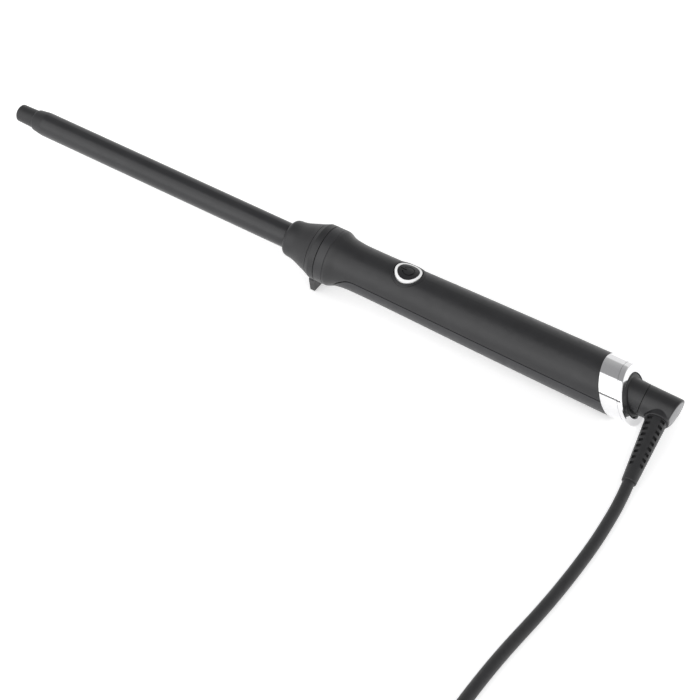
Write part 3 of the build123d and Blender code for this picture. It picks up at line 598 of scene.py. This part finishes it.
def chrome():
    """Bright plated plastic, with hairline scratches and a trace of fingerprint haze."""
    finish = Finish("chrome")
    haze = finish.noise(90, 5, 0.65)
    finish.colour(haze, (0.80, 0.80, 0.81), (0.88, 0.88, 0.885))
    finish.rough(finish.noise(260, 5, 0.7), 0.05, 0.13)
    hair = finish.noise(1.0, 4, 0.75, finish.stretched((2600, 260, 260)))
    finish.dent(hair, 0.0000015)
    finish.set(Metallic=1.0)
    return finish


def light_guide():
    """The bright ring round the button: milky white acrylic."""
    finish = Finish("light_guide")
    finish.colour(finish.noise(500, 3), (0.90, 0.90, 0.90), (0.97, 0.97, 0.97))
    finish.rough(finish.noise(300, 3), 0.16, 0.24)
    finish.dent(finish.noise(1800, 2), 0.000004)
    finish.set(IOR=1.49, Coat_Weight=0.3, Coat_Roughness=0.06)
    return finish


def grey_disc():
    """The end disc: a silver-grey satin lacquer with a fine metallic flake."""
    finish = Finish("grey_disc")
    flake = finish.cells(5200)
    finish.colour(flake, (0.20, 0.20, 0.205), (0.36, 0.36, 0.37), 0.1, 0.9)
    finish.rough(finish.noise(300, 4), 0.30, 0.40)
    finish.dent(finish.noise(2200, 2), 0.000006)
    finish.set(Metallic=0.55)
    return finish


def board():
    """Green solder mask over copper tracks."""
    finish = Finish("board")
    tracks = finish.cells(420)
    finish.colour(tracks, (0.012, 0.10, 0.035), (0.02, 0.17, 0.06), 0.25, 0.45)
    finish.rough(finish.noise(400, 3), 0.28, 0.4)
    finish.dent(tracks, 0.00003)
    return finish


def capacitor():
    """A yellow film capacitor's dipped case."""
    finish = Finish("capacitor")
    finish.colour(finish.noise(300, 4), (0.52, 0.36, 0.03), (0.66, 0.47, 0.06))
    finish.rough(finish.noise(200, 3), 0.25, 0.35)
    finish.dent(finish.noise(500, 3), 0.00003)
    return finish


def fuse_glass():
    """A fuse's glass tube, dusty."""
    finish = Finish("fuse_glass")
    finish.colour(finish.noise(600, 4), (0.72, 0.74, 0.70), (0.86, 0.88, 0.84))
    finish.rough(finish.noise(300, 3), 0.05, 0.15)
    finish.dent(finish.noise(700, 2), 0.00001)
    finish.set(IOR=1.5)
    return finish


def wire(name, colour):
    """Silicone wire insulation."""
    finish = Finish(name)
    darker = tuple(c * 0.8 for c in colour)
    finish.colour(finish.noise(400, 4), darker, colour)
    finish.rough(finish.noise(300, 3), 0.42, 0.56)
    finish.dent(finish.noise(1800, 2), 0.00001)
    return finish


# each finish's lightness and roughness
PLASTICS = {
    "black_plastic": (0.014, 0.44),
    "trim_plastic": (0.019, 0.40),
    "handle_plastic": (0.014, 0.40),
    "panel_plastic": (0.024, 0.44),
    "button_plastic": (0.010, 0.36),
    "inner_plastic": (0.06, 0.5),
    "elbow_plastic": (0.013, 0.38),
    "plug_plastic": (0.018, 0.42),
}
RUBBERS = {"boot_rubber": (0.015, 0.46), "cord_rubber": (0.016, 0.50), "tie_rubber": (0.016, 0.75)}
# each metal's colour, roughness and the scale of its drawn lines by axis
METALS = {
    "steel": ((0.62, 0.62, 0.63), 0.3, (900, 900, 900)),
    "aluminium": ((0.72, 0.72, 0.74), 0.34, (60, 2600, 2600)),
    "brass": ((0.78, 0.58, 0.26), 0.25, (900, 900, 900)),
    "nickel": ((0.72, 0.71, 0.68), 0.18, (90, 2400, 2400)),
}
WIRES = {"wire_red": (0.45, 0.03, 0.02), "wire_blue": (0.03, 0.07, 0.32)}

finishes = {name: moulded(name, *look) for name, look in PLASTICS.items()}
finishes["insulator"] = moulded("insulator", 0.62, 0.6, blue=0.88)
finishes["ceramic"] = moulded("ceramic", 0.72, 0.55, blue=0.95)
finishes |= {name: rubbery(name, *look) for name, look in RUBBERS.items()}
finishes |= {name: metal(name, *look) for name, look in METALS.items()}
finishes |= {name: wire(name, colour) for name, colour in WIRES.items()}
for make in (barrel_coating, chrome, light_guide, grey_disc, board, capacitor, fuse_glass):
    finishes[make.__name__] = make()

for subpart in frame["record"]["subparts"]:
    piece = nodes[subpart["node"]]
    piece.data.materials.clear()
    piece.data.materials.append(finishes[subpart["material_slot"]].material)
cord.data.materials.clear()
cord.data.materials.append(finishes["cord_rubber"].material)
tie.data.materials.append(finishes["tie_rubber"].material)
plug_relief.data.materials.append(finishes["boot_rubber"].material)
plug_housing.data.materials.append(finishes["plug_plastic"].material)

bpy.context.view_layer.update()
